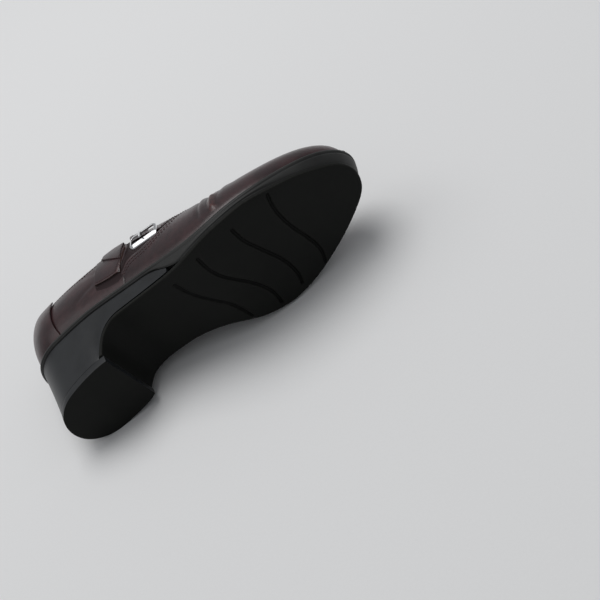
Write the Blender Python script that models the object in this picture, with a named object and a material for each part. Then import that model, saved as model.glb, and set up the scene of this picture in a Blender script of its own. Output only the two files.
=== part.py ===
"""Low block-heeled shoe with a buckled strap, right foot, lying on its inner side.

The shoe is modelled standing, in millimetres: X runs from the heel to the toe, Y towards the
inner side of the foot and Z up from the floor. An empty then lays it on its inner side.
"""
import math

import bmesh
import bpy
import numpy as np
from mathutils import Vector

MM = 0.001  # one millimetre in Blender's metres

# Driving dimensions
WALL = 2.6  # outer leather, gusset or puff, and lining together
RECESS = 1.2  # outer leather alone
GAP = 0.3  # between pieces that touch
FEATHER = 3.2  # from the rand's edge in to where the upper meets it
TREAD = 3.4  # forepart rubber
WAIST_TREAD = 2.6  # rubber under the waist and over the heel breast
LIFT = 5.6  # top lift under the heel
RAND = 4.6  # height of the rand at the heel and waist
HEEL_TIP = (6.0, 0.0)
TOE_TIP = (266.8, 9.0)
HEEL_CENTRE = 38.0  # sections behind this fan round the heel
LATERAL_POWER, MEDIAL_POWER = 1.88, 2.0  # roundness of the two shoulders of the last
LYING_TURN = (-87.931, -9.225, 0.0)  # degrees about X, Y and Z that lay the standing shoe down
LYING_PLACE = (-134.505, -58.875, 17.931)  # puts the lying shoe's lowest points on the floor

# Outer edge of the rand: distance along the foot, half widths, and height of its top edge
RAND_ROWS = [
    # x, lateral, medial, top
    (8.0, 8.5, 8.0, 59.7),
    (13.0, 16.5, 15.5, 58.8),
    (20.0, 22.0, 20.6, 57.5),
    (30.0, 26.2, 23.9, 55.8),
    (42.0, 28.2, 25.5, 53.7),
    (58.0, 30.0, 26.7, 50.9),
    (72.0, 31.6, 27.0, 47.2),
    (88.0, 33.2, 26.3, 41.6),
    (101.0, 34.6, 26.4, 36.5),
    (115.0, 36.3, 28.3, 31.0),
    (125.0, 38.0, 31.0, 26.6),
    (133.0, 39.6, 33.6, 22.6),
    (142.0, 41.4, 37.0, 18.2),
    (150.0, 42.6, 40.2, 14.8),
    (160.0, 43.5, 43.8, 12.2),
    (170.0, 43.8, 46.3, 11.2),
    (185.0, 43.0, 48.2, 11.6),
    (200.0, 40.0, 47.6, 13.0),
    (215.0, 35.0, 44.6, 15.8),
    (230.0, 28.0, 40.2, 19.6),
    (243.0, 20.6, 35.4, 23.0),
    (253.0, 13.4, 30.4, 25.2),
    (260.0, 6.2, 24.4, 26.6),
    (264.8, -1.0, 17.6, 27.0),
]

# Underside of the forepart and waist: half widths of the tread's edge, and height
TREAD_ROWS = [
    # x, lateral, medial, under
    (62.0, 26.4, 21.0, 0.0),
    (66.0, 28.0, 21.6, 9.4),
    (72.0, 30.0, 22.6, 17.0),
    (82.0, 32.4, 23.4, 20.0),
    (95.0, 33.4, 22.6, 17.2),
    (110.0, 34.9, 21.8, 12.8),
    (125.0, 37.2, 23.6, 7.4),
    (135.0, 39.2, 26.6, 3.6),
    (145.0, 41.4, 32.4, 1.0),
    (155.0, 43.2, 38.6, 0.0),
    (172.0, 44.2, 44.4, 0.0),
    (195.0, 40.9, 45.8, 2.6),
    (215.0, 33.2, 41.6, 4.6),
    (230.0, 25.7, 37.4, 7.0),
    (243.0, 16.9, 32.0, 8.9),
    (253.0, 9.0, 25.8, 9.8),
    (258.5, 2.2, 19.4, 10.0),
]
TREAD_TIP = (261.2, 8.6)

# Ridge of the last along the instep and toe; over the heel it is only the shape's crown
RIDGE_ROWS = [
    # x, y, z
    (38.0, 3.0, 116.0),
    (60.0, 6.0, 120.0),
    (80.0, 10.0, 122.5),
    (100.0, 13.2, 121.0),
    (112.0, 15.0, 116.5),
    (130.0, 16.6, 106.3),
    (150.0, 15.6, 91.5),
    (170.0, 11.4, 76.5),
    (190.0, 8.4, 66.0),
    (210.0, 7.2, 60.5),
    (230.0, 7.0, 58.0),
    (264.0, 8.4, 55.0),
]

# Swell of the upper just above the sole: its height and how far it stands out
SWELL_ROWS = [
    # x, height, out
    (6.0, 16.0, 1.6),
    (38.0, 16.0, 3.3),
    (80.0, 13.0, 2.0),
    (110.0, 10.0, 1.6),
    (150.0, 6.0, 1.4),
    (200.0, 5.0, 1.2),
    (258.0, 6.0, 1.2),
]

# Ground face of the top lift
LIFT_ROWS = [
    # x, lateral, medial
    (11.9, 7.7, 9.6),
    (16.9, 16.4, 16.6),
    (26.7, 23.2, 22.2),
    (40.4, 26.4, 23.8),
    (54.0, 27.3, 23.4),
    (61.0, 27.1, 22.6),
    (65.0, 26.5, 20.9),
]
LIFT_TIP = (10.3, 1.0)


def steady(rows, column):
    """A smooth function of the first column that never overshoots its rows."""
    xs = np.array([row[0] for row in rows])
    ys = np.array([row[column] for row in rows])
    runs, slopes = np.diff(xs), np.diff(ys) / np.diff(xs)
    tangents = np.zeros(len(xs))
    tangents[0], tangents[-1] = slopes[0], slopes[-1]
    for i in range(1, len(xs) - 1):
        if slopes[i - 1] * slopes[i] > 0:
            before, after = 2 * runs[i] + runs[i - 1], runs[i] + 2 * runs[i - 1]
            tangents[i] = (before + after) / (before / slopes[i - 1] + after / slopes[i])

    def value(x):
        x = min(max(x, xs[0]), xs[-1])
        i = min(int(np.searchsorted(xs, x, side="right")) - 1, len(xs) - 2)
        t = (x - xs[i]) / runs[i]
        rise = ys[i + 1] - ys[i]
        start, end = tangents[i] * runs[i], tangents[i + 1] * runs[i]
        return float(
            ys[i]
            + t * start
            + t * t * (3 * rise - 2 * start - end)
            + t * t * t * (start + end - 2 * rise)
        )

    return value


def spline(points, per_span, before=None, after=None):
    """Points along a centripetal Catmull-Rom curve through the given points."""
    points = [np.array(p, float) for p in points]
    first = np.array(before, float) if before is not None else 2 * points[0] - points[1]
    last = np.array(after, float) if after is not None else 2 * points[-1] - points[-2]
    ring = [first] + points + [last]
    curve = []
    for p0, p1, p2, p3 in zip(ring, ring[1:], ring[2:], ring[3:]):
        k1 = math.sqrt(np.linalg.norm(p1 - p0))
        k2 = k1 + math.sqrt(np.linalg.norm(p2 - p1))
        k3 = k2 + math.sqrt(np.linalg.norm(p3 - p2))
        for k in np.linspace(k1, k2, per_span, endpoint=False):
            a1 = p0 + (p1 - p0) * k / k1
            a2 = p1 + (p2 - p1) * (k - k1) / (k2 - k1)
            a3 = p2 + (p3 - p2) * (k - k2) / (k3 - k2)
            b1 = a1 + (a2 - a1) * k / k2
            b2 = a2 + (a3 - a2) * (k - k1) / (k3 - k1)
            curve.append(b1 + (b2 - b1) * (k - k1) / (k2 - k1))
    return np.array(curve + [points[-1]])


class Outline:
    """A rounded plan outline: a lateral (-1) and a medial (+1) side between two tips."""

    def __init__(self, sides):
        self.sides = sides
        self.heel, self.toe = sides[1][0, 0], sides[1][-1, 0]

    @classmethod
    def through(cls, rows, heel_tip, toe_tip):
        sides = {}
        for side, column in ((-1, 1), (1, 2)):
            mine = [(row[0], side * row[column]) for row in rows]
            other = [(row[0], -side * row[3 - column]) for row in rows]
            path = ([heel_tip] if heel_tip else []) + mine + ([toe_tip] if toe_tip else [])
            sides[side] = spline(
                path, 24, other[0] if heel_tip else None, other[-1] if toe_tip else None
            )
            sides[side][:, 0] = np.maximum.accumulate(sides[side][:, 0])
        return cls(sides)

    def inset(self, distance):
        """The same outline moved inwards by a distance, or by a function of x."""
        sides = {}
        for side, path in self.sides.items():
            along = np.gradient(path, axis=0)
            along /= np.linalg.norm(along, axis=1)[:, None]
            inwards = side * np.stack([along[:, 1], -along[:, 0]], axis=1)
            steps = [distance(x) if callable(distance) else distance for x in path[:, 0]]
            moved = path + np.array(steps)[:, None] * inwards
            moved[:, 0] = np.maximum.accumulate(moved[:, 0])
            sides[side] = moved
        return Outline(sides)

    def y(self, side, x):
        path = self.sides[side]
        return float(np.interp(x, path[:, 0], path[:, 1]))

    def outwards(self, side, x):
        """Unit plan vector pointing out of the outline."""
        path = self.sides[side]
        i = min(max(int(np.searchsorted(path[:, 0], x)), 1), len(path) - 1)
        along = path[i] - path[i - 1]
        along = along / np.linalg.norm(along)
        return np.array([-side * along[1], side * along[0], 0.0])


rand_line = Outline.through(RAND_ROWS, HEEL_TIP, TOE_TIP)
tread_line = Outline.through(TREAD_ROWS, None, TREAD_TIP)
lift_line = Outline.through(LIFT_ROWS, LIFT_TIP, None)
rand_top = steady(RAND_ROWS, 3)
tread_under = steady(TREAD_ROWS, 3)
swell_height, swell_out = steady(SWELL_ROWS, 1), steady(SWELL_ROWS, 2)
ridge_y, ridge_z = steady(RIDGE_ROWS, 1), steady(RIDGE_ROWS, 2)


def spread(start, end, count, ease="both"):
    """Stations that crowd towards a rounded end."""
    t = np.linspace(0, 1, count)
    if ease == "both":
        t = (1 - np.cos(np.pi * t)) / 2
    elif ease == "end":
        t = np.sin(np.pi * t / 2)
    elif ease == "start":
        t = 1 - np.cos(np.pi * t / 2)
    return start + (end - start) * t


def new_piece(name, bm, material):
    """Merge a bmesh given in millimetres, face it outwards and link it as an object."""
    bmesh.ops.remove_doubles(bm, verts=bm.verts, dist=0.002)
    bmesh.ops.recalc_face_normals(bm, faces=bm.faces)
    if bm.calc_volume(signed=True) < 0:
        bmesh.ops.reverse_faces(bm, faces=bm.faces)
    bmesh.ops.scale(bm, vec=(MM, MM, MM), verts=bm.verts)
    mesh = bpy.data.meshes.new(name)
    bm.to_mesh(mesh)
    bm.free()
    mesh.shade_smooth()
    mesh.set_sharp_from_angle(angle=math.radians(40))
    mesh.materials.append(material)
    piece = bpy.data.objects.new(name, mesh)
    piece.parent = standing
    shoe.objects.link(piece)
    return piece


def skin(bm, rows, closed=True):
    """Join rows of vertices with quads."""
    for low, high in zip(rows, rows[1:]):
        count = len(low)
        for j in range(count if closed else count - 1):
            k = (j + 1) % count
            bm.faces.new((low[j], low[k], high[k], high[j]))


TIP_WIDTH = 0.8  # an outline narrower than this has come to its tip


def deck(outline, stations, height):
    """Edge of a deck: lateral point, medial point and their outward directions at each station.

    A station is one x, or a lateral and a medial x; height is a number or a function of x.
    """
    rails = []
    for station in stations:
        xs = station if isinstance(station, tuple) else (station, station)
        if xs[0] <= outline.heel or xs[0] >= outline.toe:
            outs = [np.array([-1.0 if xs[0] <= outline.heel else 1.0, 0.0, 0.0])] * 2
        else:
            outs = [outline.outwards(side, x) for side, x in zip((-1, 1), xs)]
        ends = [outline.y(side, x) for side, x in zip((-1, 1), xs)]
        if abs(ends[1] - ends[0]) < TIP_WIDTH:
            ends = [sum(ends) / 2] * 2
        heights = [height(x) if callable(height) else height for x in xs]
        rails.append([np.array(p) for p in zip(xs, ends, heights)] + outs)
    return rails


def between(first, last, count):
    return [first + (last - first) * j / count for j in range(count + 1)]


def decked_solid(name, material, upper, lower, across=6, side=()):
    """A solid between two decks. side lists (depth, out) steps down its wall."""
    bm = bmesh.new()
    loops = []
    for (hl, hm, out_l, out_m), (ll, lm, _, _) in zip(upper, lower):
        loop = between(hl, hm, across)
        loop += [hm + (lm - hm) * depth + out_m * out for depth, out in side]
        loop += between(lm, ll, across)
        loop += [hl + (ll - hl) * depth + out_l * out for depth, out in reversed(side)]
        loops.append(loop)
    rows = [[bm.verts.new(p) for p in loop] for loop in loops]
    skin(bm, rows)
    for row, (_, pair) in ((rows[0], (upper[0], lower[0])), (rows[-1], (upper[-1], lower[-1]))):
        if np.linalg.norm(pair[0] - pair[1]) > 0.01:
            bm.faces.new(row)
    return new_piece(name, bm, material)


def material(name, colour, roughness, metallic=0.0):
    made = bpy.data.materials.new(name)
    made.use_nodes = True
    shader = made.node_tree.nodes["Principled BSDF"]
    shader.inputs["Base Color"].default_value = (*colour, 1.0)
    shader.inputs["Roughness"].default_value = roughness
    shader.inputs["Metallic"].default_value = metallic
    return made


# The scene: one collection for the shoe, one for the cutters, and the empty that lays it down
for old in list(bpy.data.objects):
    bpy.data.objects.remove(old)
shoe = bpy.data.collections.new("ankle_shoe")
cutters = bpy.data.collections.new("cutters")
for made in (shoe, cutters):
    bpy.context.scene.collection.children.link(made)
standing = bpy.data.objects.new("standing_frame", None)
standing.rotation_euler = [math.radians(angle) for angle in LYING_TURN]
standing.location = [distance * MM for distance in LYING_PLACE]
shoe.objects.link(standing)

leather = material("burgundy_leather", (0.07, 0.016, 0.018), 0.42)
trim_leather = material("dark_burgundy_leather", (0.05, 0.012, 0.014), 0.42)
rubber = material("black_rubber", (0.018, 0.019, 0.019), 0.6)
wall_rubber = material("glossy_black_rubber", (0.02, 0.023, 0.026), 0.38)
rand_rubber = material("stitched_rand", (0.035, 0.037, 0.034), 0.55)
lining = material("lining_leather", (0.16, 0.1, 0.07), 0.6)
steel = material("polished_steel", (0.75, 0.75, 0.76), 0.2, 1.0)


# Rand: a frame of rubber right round, which widens to the whole side wall of the forepart
RAND_SHARE_ROWS = [
    # x on the lateral side, how far the rand's lower edge has left the plain band for the tread,
    # and how much further forward the same stage comes on the medial side
    (6.0, 0.0, 0.0),
    (98.0, 0.0, 0.0),
    (120.0, 0.0, 10.0),
    (127.0, 0.2, 13.0),
    (134.0, 0.62, 15.0),
    (139.0, 0.88, 15.0),
    (144.0, 1.0, 15.0),
    (156.0, 1.0, 13.0),
    (205.0, 1.0, 0.0),
    (267.0, 1.0, 0.0),
]
rand_share, medial_lead = steady(RAND_SHARE_ROWS, 1), steady(RAND_SHARE_ROWS, 2)
FOREPART = 144.0  # from here on the rand comes right down to the tread
tread_step = tread_line.inset(0.9)
rand_edge = rand_line.inset(0.6)
rand_stations = [(x, x + medial_lead(x)) for x in spread(rand_edge.heel, rand_edge.toe, 60)]


def rand_band(x):
    return rand_top(x) - RAND


def rand_floor(x):
    return tread_under(x) + TREAD + GAP


def rand_rails():
    """Upper and lower deck of the rand."""
    upper = deck(rand_edge, rand_stations, rand_top)
    lower = []
    for station in rand_stations:
        share = rand_share(station[0])
        pair = deck(rand_line.inset(0.3), [station], rand_band)[0]
        if share:
            past = max(0.0, station[0] - FOREPART) / (rand_edge.toe - FOREPART)
            ahead = tuple(x + past * (tread_step.toe - rand_edge.toe) for x in station)
            tread = deck(tread_step, [ahead], rand_floor)[0]
            pair = [a + (b - a) * share for a, b in zip(pair, tread)]
        lower.append(pair)
    return upper, lower


rand_upper, rand_lower = rand_rails()
RAND_WALL = ((0.1, 0.7), (0.3, 1.1), (0.6, 1.2), (0.9, 0.7))
rand = decked_solid("rand", rand_rubber, rand_upper, rand_lower, side=RAND_WALL)

# Outsole: one rubber sheet from the toe, under the waist and down the front of the heel
tread_depth = steady([(60.0, WAIST_TREAD), (118.0, WAIST_TREAD), (146.0, TREAD), (260.0, TREAD)], 1)


def under_path(depth):
    """The sole's underside from the heel breast to the toe, moved inwards by a depth."""
    xs = np.concatenate([np.linspace(62.0, 84.0, 200), np.linspace(84.2, TREAD_TIP[0], 500)])
    path = np.array([(x, tread_under(x)) for x in xs])
    along = np.gradient(path, axis=0)
    along /= np.linalg.norm(along, axis=1)[:, None]
    normals = np.stack([-along[:, 1], along[:, 0]], axis=1)
    depths = np.array([depth(x) for x in xs])
    return path, path + normals * depths[:, None]


def outsole_rails():
    outer, inner = under_path(tread_depth)
    lengths = np.concatenate([[0], np.cumsum(np.linalg.norm(np.diff(outer, axis=0), axis=1))])
    floor = LIFT + GAP
    start = lengths[int(np.argmax(outer[:, 1] >= floor))]
    upper, lower = [], []
    for at in spread(start, lengths[-1], 56, "end"):
        ox, oz = (float(np.interp(at, lengths, outer[:, k])) for k in (0, 1))
        ix, iz = (float(np.interp(at, lengths, inner[:, k])) for k in (0, 1))
        below = deck(tread_line, [ox], max(oz, floor) if ox < 80 else oz)[0]
        above = deck(tread_line, [ox], max(iz, floor) if ox < 80 else iz)[0]
        for point in above[:2]:
            point[0] = ix
        lower.append(below)
        upper.append(above)
    return upper, lower


outsole_upper, outsole_lower = outsole_rails()
TREAD_WALL = ((0.25, 0.25), (0.75, 0.2))
outsole = decked_solid("outsole", rubber, outsole_upper, outsole_lower, across=8, side=TREAD_WALL)

# Wavy grooves across the tread, from the lateral end to the medial end
GROOVE_ROWS = [
    [(210.5, -32.5), (207.5, -22.0), (206.7, -11.0), (207.2, 0.0), (209.0, 12.0), (210.4, 24.0),
     (209.4, 34.0), (206.0, 43.0)],
    [(179.9, -34.0), (180.0, -21.5), (182.5, -10.0), (185.3, 1.0), (188.0, 12.0), (188.8, 22.5),
     (188.3, 32.0), (185.5, 40.5)],
    [(152.4, -36.0), (152.0, -22.0), (154.5, -11.0), (158.8, -2.0), (163.6, 8.0), (167.2, 18.5),
     (168.5, 28.6), (166.8, 40.0)],
    [(129.4, -29.5), (130.4, -21.0), (133.5, -10.5), (138.3, -1.0), (143.3, 9.0), (146.0, 20.0),
     (147.3, 31.0)],
]
GROOVE_WIDTH, GROOVE_DEPTH = 2.3, 1.8


def cut(piece, cutter, solver="EXACT"):
    """Take a cutter out of a piece."""
    cutter.hide_render = True
    cutter.display_type = "WIRE"
    shoe.objects.unlink(cutter)
    cutters.objects.link(cutter)
    boolean = piece.modifiers.new("cut_" + cutter.name, "BOOLEAN")
    boolean.operation, boolean.solver, boolean.object = "DIFFERENCE", solver, cutter


for number, row in enumerate(GROOVE_ROWS, 1):
    path = spline(row, 4)
    along = np.gradient(path, axis=0)
    along /= np.linalg.norm(along, axis=1)[:, None]
    bm = bmesh.new()
    rows = []
    for (x, y), (dx, dy) in zip(path, along):
        half = np.array([-dy, dx, 0.0]) * GROOVE_WIDTH / 2
        low, high = (np.array([x, y, tread_under(x) + z]) for z in (-1.5, GROOVE_DEPTH))
        rows.append([bm.verts.new(p) for p in (low - half, low + half, high + half, high - half)])
    skin(bm, rows)
    bm.faces.new(rows[0])
    bm.faces.new(rows[-1])
    cut(outsole, new_piece(f"groove_cutter_{number}", bm, rubber), "MANIFOLD")

# Heel block: from the rand down to the top lift, and forward under the waist to nothing
HEEL_BLOCK_END = 138.0


def heel_block_rails():
    """Upper and lower deck of the heel block, at the rand's own stations."""
    _, inner = under_path(lambda x: tread_depth(x) + 2 * GAP)
    floor = LIFT + GAP
    start = int(np.argmax(inner[:, 1] > floor))
    breast_x = float(inner[start, 0])
    path = inner[start:]
    lengths = np.concatenate([[0], np.cumsum(np.linalg.norm(np.diff(path, axis=0), axis=1))])
    edge = rand_line.inset(0.9)
    stations = [edge.heel] + [s for s in rand_stations if edge.heel + 0.5 < s[0] < HEEL_BLOCK_END]
    upper, lower = [], []
    for station in stations:
        pair = station if isinstance(station, tuple) else (station, station)
        share = rand_share(pair[0])
        band = deck(edge, [station], lambda x: rand_band(x) - GAP)[0]
        if share:
            tread = deck(tread_step, [station], lambda x: rand_floor(x) - GAP)[0]
            band = [a + (b - a) * share for a, b in zip(band, tread)]
        upper.append(band)
        if pair[0] < breast_x:
            along = (pair[0] - edge.heel) / (breast_x - edge.heel)
            lower += deck(lift_line, [LIFT_TIP[0] + (breast_x - LIFT_TIP[0]) * along], floor)
            continue
        ends = []
        for side, x in zip((-1, 1), pair):
            last = HEEL_BLOCK_END + (medial_lead(HEEL_BLOCK_END) if side > 0 else 0.0)
            reach = float(np.interp(last, path[:, 0], lengths))
            at = reach * ((x - breast_x) / (last - breast_x)) ** 1.1
            ahead, z = (float(np.interp(at, lengths, path[:, k])) for k in (0, 1))
            ends.append(np.array([ahead, tread_line.y(side, max(ahead, TREAD_ROWS[0][0])), z]))
        bearings = [max(end[0], TREAD_ROWS[0][0]) for end in ends]
        outs = [tread_line.outwards(side, x) for side, x in zip((-1, 1), bearings)]
        lower.append(ends + outs)
    return upper, lower


block_upper, block_lower = heel_block_rails()
BLOCK_WALL = ((0.3, -0.3), (0.65, -0.4))
heel_block = decked_solid("heel_block", wall_rubber, block_upper, block_lower, side=BLOCK_WALL)

# Top lift under the heel
lift_stations = spread(LIFT_TIP[0], LIFT_ROWS[-1][0], 24, "start")
lift_upper = deck(lift_line, lift_stations, LIFT)
lift_lower = deck(lift_line, lift_stations, 0.0)
top_lift = decked_solid("top_lift", rubber, lift_upper, lift_lower, side=((0.5, 0.15),))

# Insole: the board and sock the foot stands on
INSOLE = 2.0
insole_line = rand_line.inset(FEATHER + WALL + 0.6)
insole_stations = [
    station for station in rand_stations
    if insole_line.heel + 0.8 < station[0] and station[1] < insole_line.toe - 0.8
]
insole_stations = [insole_line.heel, *insole_stations, insole_line.toe]
insole_lower = deck(insole_line, insole_stations, lambda x: rand_top(x) + GAP)
insole_upper = deck(insole_line, insole_stations, lambda x: rand_top(x) + GAP + INSOLE)
insole = decked_solid("insole", lining, insole_upper, insole_lower, across=4)

# Upper. Its outside is a hood over the last: a swell above the sole, then a rounded crown.
feather = rand_line.inset(FEATHER)
widest = rand_line.inset(lambda x: FEATHER - swell_out(x))
TOE_START, TOE_POWER = 222.0, 2.5  # where the crown starts to round down to the toe, and how squarely
BACK_CROWN = 136.0  # at the back the crown is high, so that the wall there is nearly upright
COLLAR_CORNER = 112.0  # where the topline turns up over the instep
COLLAR_RIDGE = 108.0


def wall_foot(x):
    return rand_top(x) + GAP


def wall_knee(x):
    return wall_foot(x) + swell_height(x)


def half_section(x, side):
    """Half width, knee height, rise to the crown and roundness of one half of a section."""
    rise = ridge_z(x) - wall_knee(x)
    if x > TOE_START:
        along = min((x - TOE_START) / (widest.toe - TOE_START), 1.0)
        rise *= (1 - along**TOE_POWER) ** (1 / TOE_POWER)
    half = abs(widest.y(side, x) - ridge_y(x))
    return half, wall_knee(x), rise, LATERAL_POWER if side < 0 else MEDIAL_POWER


def fan_section(angle):
    """The same for a heel section at an angle from straight back, lateral below zero."""
    centre = np.array([HEEL_CENTRE, ridge_y(HEEL_CENTRE)])
    side = -1 if angle < 0 else 1
    ray = np.array([-math.cos(angle), side * math.sin(abs(angle))])
    path = widest.sides[side]
    offsets = path[path[:, 0] < HEEL_CENTRE + 3.0] - centre
    bearings = np.arctan2(side * offsets[:, 1], -offsets[:, 0])
    order = np.argsort(bearings)
    reach = float(np.interp(abs(angle), bearings[order], np.linalg.norm(offsets[order], axis=1)))
    x = centre[0] + ray[0] * reach
    back = math.cos(angle) ** 2
    crown = ridge_z(HEEL_CENTRE) + (BACK_CROWN - ridge_z(HEEL_CENTRE)) * back
    power = (LATERAL_POWER if side < 0 else MEDIAL_POWER) * (1 - back) + 2.0 * back
    return reach, wall_knee(x), crown - wall_knee(x), power


def section_at(x, y):
    """Share of the half width at a plan point, and its section."""
    centre_y = ridge_y(max(x, HEEL_CENTRE))
    if x >= HEEL_CENTRE:
        section = half_section(x, -1 if y < centre_y else 1)
        distance = abs(y - centre_y)
    else:
        distance = math.hypot(x - HEEL_CENTRE, y - centre_y)
        section = fan_section(math.atan2(y - centre_y, HEEL_CENTRE - x))
    return min(distance / max(section[0], 1e-6), 1.0), section


def crown_height(x, y):
    """Height of the upper's outside over a plan point."""
    share, (_, knee, rise, power) = section_at(x, y)
    return knee + rise * (1 - share**power) ** (1 / power)


def share_at_height(section, z):
    """How far out, as a share of the half width, the wall is at a height."""
    _, knee, rise, power = section
    return (1 - min(max((z - knee) / rise, 0.0), 1.0) ** power) ** (1 / power)


# Height of the topline along each side
TOPLINE_ROWS = [
    # x, lateral, medial
    (8.0, 108.0, 108.0),
    (20.0, 105.0, 105.0),
    (43.0, 98.0, 99.5),
    (56.0, 96.6, 97.0),
    (69.0, 94.2, 95.6),
    (80.0, 92.4, 95.2),
    (90.0, 91.8, 97.0),
    (101.0, 92.4, 101.0),
    (112.0, 94.0, 106.0),
]
topline_z = {-1: steady(TOPLINE_ROWS, 1), 1: steady(TOPLINE_ROWS, 2)}


def topline_point(x, side):
    """Plan point of the topline beside a widest-outline point."""
    if x >= HEEL_CENTRE:
        section = half_section(x, side)
        y = ridge_y(x) + side * section[0] * share_at_height(section, topline_z[side](x))
        return np.array([x, y])
    out = np.array([x, widest.y(side, x)]) if x > widest.heel else np.array([x, 0.0])
    centre = np.array([HEEL_CENTRE, ridge_y(HEEL_CENTRE)])
    angle = math.atan2(out[1] - centre[1], centre[0] - out[0])
    share = share_at_height(fan_section(angle), topline_z[side](x))
    return centre + (out - centre) * share


def collar_front():
    """Plan curve of the collar from its lateral corner over the instep to its medial corner."""
    ends = [topline_point(COLLAR_CORNER, side) for side in (-1, 1)]
    top = np.array([COLLAR_RIDGE, ridge_y(COLLAR_RIDGE)])
    curve = []
    for t in np.linspace(-1, 1, 41):
        end = ends[0] if t < 0 else ends[1]
        bend = abs(t) ** 1.6
        curve.append([top[0] + (end[0] - top[0]) * bend, top[1] + (end[1] - top[1]) * abs(t)])
    return np.array(curve)


FRONT_START = 96.0  # the columns ahead of this lean back to the collar over the instep
QUARTER_COLUMNS, HEEL_COLUMNS, FRONT_COLUMNS = 7, 13, 41
WALL_ROWS = 15


def even(path, count):
    """Points evenly spaced along a path."""
    lengths = np.concatenate([[0], np.cumsum(np.linalg.norm(np.diff(path, axis=0), axis=1))])
    at = np.linspace(0, lengths[-1], count)
    return np.array([[np.interp(a, lengths, path[:, k]) for k in (0, 1)] for a in at])


def round_heel(limit):
    """The widest outline behind an x, from the lateral side round to the medial one."""
    lateral, medial = (path[path[:, 0] < limit] for path in (widest.sides[-1], widest.sides[1]))
    return np.concatenate([lateral[::-1], medial[1:]])


def round_toe(limit):
    """The widest outline ahead of an x, from the medial side round to the lateral one."""
    lateral, medial = (path[path[:, 0] > limit] for path in (widest.sides[-1], widest.sides[1]))
    return np.concatenate([medial, lateral[::-1][1:]])


def hood_columns():
    """Plan points on the widest outline and on the topline, once round the shoe."""
    feet, tops = [], []
    for x in np.linspace(FRONT_START, HEEL_CENTRE, QUARTER_COLUMNS):
        feet.append([x, widest.y(-1, x)])
        tops.append(topline_point(x, -1))
    for x, y in even(round_heel(HEEL_CENTRE), HEEL_COLUMNS + 2)[1:-1]:
        side = -1 if y < 0 else 1
        feet.append([x, y])
        tops.append(topline_point(x, side))
    for x in np.linspace(HEEL_CENTRE, FRONT_START, QUARTER_COLUMNS):
        feet.append([x, widest.y(1, x)])
        tops.append(topline_point(x, 1))
    xs = np.linspace(FRONT_START, COLLAR_CORNER, 9)[:-1]
    medial, lateral = ([topline_point(x, side) for x in xs] for side in (1, -1))
    collar = np.array(medial + list(collar_front()[::-1]) + lateral[::-1])
    feet += list(even(round_toe(FRONT_START), FRONT_COLUMNS + 2)[1:-1])
    tops += list(even(collar, FRONT_COLUMNS + 2)[1:-1])
    return np.array(feet), np.array(tops)


def feather_point(x, y):
    """Point of the lasted edge below a point of the widest outline."""
    side = -1 if y < widest.y(-1, x) / 2 + widest.y(1, x) / 2 else 1
    share = (x - widest.heel) / (widest.toe - widest.heel)
    foot_x = feather.heel + (feather.toe - feather.heel) * share
    return np.array([foot_x, feather.y(side, foot_x), wall_foot(foot_x)])


HOOD_WAIST, HOOD_TOE = 150.0, 205.0  # columns turn from following the waist to running straight


def beside_ridge(foot, top, ahead):
    """Plan point part of the way up a column that keeps within the waist's outline."""
    side = -1 if foot[1] < ridge_y(foot[0]) else 1
    end_side = -1 if top[1] < ridge_y(top[0]) else 1
    end = abs(top[1] - ridge_y(top[0])) / half_section(top[0], end_side)[0] * side * end_side
    x, share = foot[0] + (top[0] - foot[0]) * ahead, 1 + (end - 1) * ahead
    share_side = side if share > 0 else -side
    return np.array([x, ridge_y(x) + share_side * abs(share) * half_section(x, share_side)[0]])


def hood_column(foot, top):
    """The outside of the upper from the lasted edge up to the topline."""
    start = feather_point(*foot)
    knee = np.array([foot[0], foot[1], wall_knee(foot[0])])
    rise = knee - start
    low = start + rise * np.array([0.8, 0.8, 0.5])
    share, section = section_at(*top)
    reach = max(math.acos(min(share ** (section[3] / 2), 1.0)), 0.3)
    column = [start, low, knee]
    toewards = min(max((foot[0] - HOOD_WAIST) / (HOOD_TOE - HOOD_WAIST), 0.0), 1.0)
    for t in np.linspace(0, 1, WALL_ROWS)[1:]:
        ahead = (1 - math.cos(reach * t)) / (1 - math.cos(reach))
        straight = foot + (top - foot) * ahead
        if foot[0] > HEEL_CENTRE:
            bent = beside_ridge(foot, top, ahead)
            straight = bent + (straight - bent) * toewards * toewards * (3 - 2 * toewards)
        column.append(np.array([*straight, crown_height(*straight)]))
    return column


def grid_normals(grid, wrap):
    """Unit normals of a grid of points, columns first; wrap closes the columns into a ring."""
    if wrap:
        across = np.roll(grid, -1, axis=0) - np.roll(grid, 1, axis=0)
    else:
        across = np.gradient(grid, axis=0)
    along = np.gradient(grid, axis=1)
    normals = np.cross(along, across)
    return normals / np.linalg.norm(normals, axis=2)[:, :, None]


def hollow_upper():
    feet, tops = hood_columns()
    outside = np.array([hood_column(foot, top) for foot, top in zip(feet, tops)])
    normals = grid_normals(outside, wrap=True)
    if normals[0, 3, 1] > 0:
        normals = -normals
    inside = outside - normals * WALL
    inside[:, 0, 2] = outside[:, 0, 2]
    bm = bmesh.new()
    rows = [[bm.verts.new(p) for p in row] for row in np.swapaxes(outside, 0, 1)]
    rows += [[bm.verts.new(p) for p in row] for row in np.swapaxes(inside, 0, 1)[::-1]]
    skin(bm, rows + rows[:1])
    return new_piece("upper", bm, leather)


upper = hollow_upper()

# Leaves on the upper are laid out by (x, w): w is -1 at the lateral lasted edge, 0 at the widest
# point, 1 on the ridge, 2 at the medial widest point and 3 at the medial lasted edge
SWEEP = 70.0  # millimetres that one step of w is worth when a seam is evened out


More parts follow.
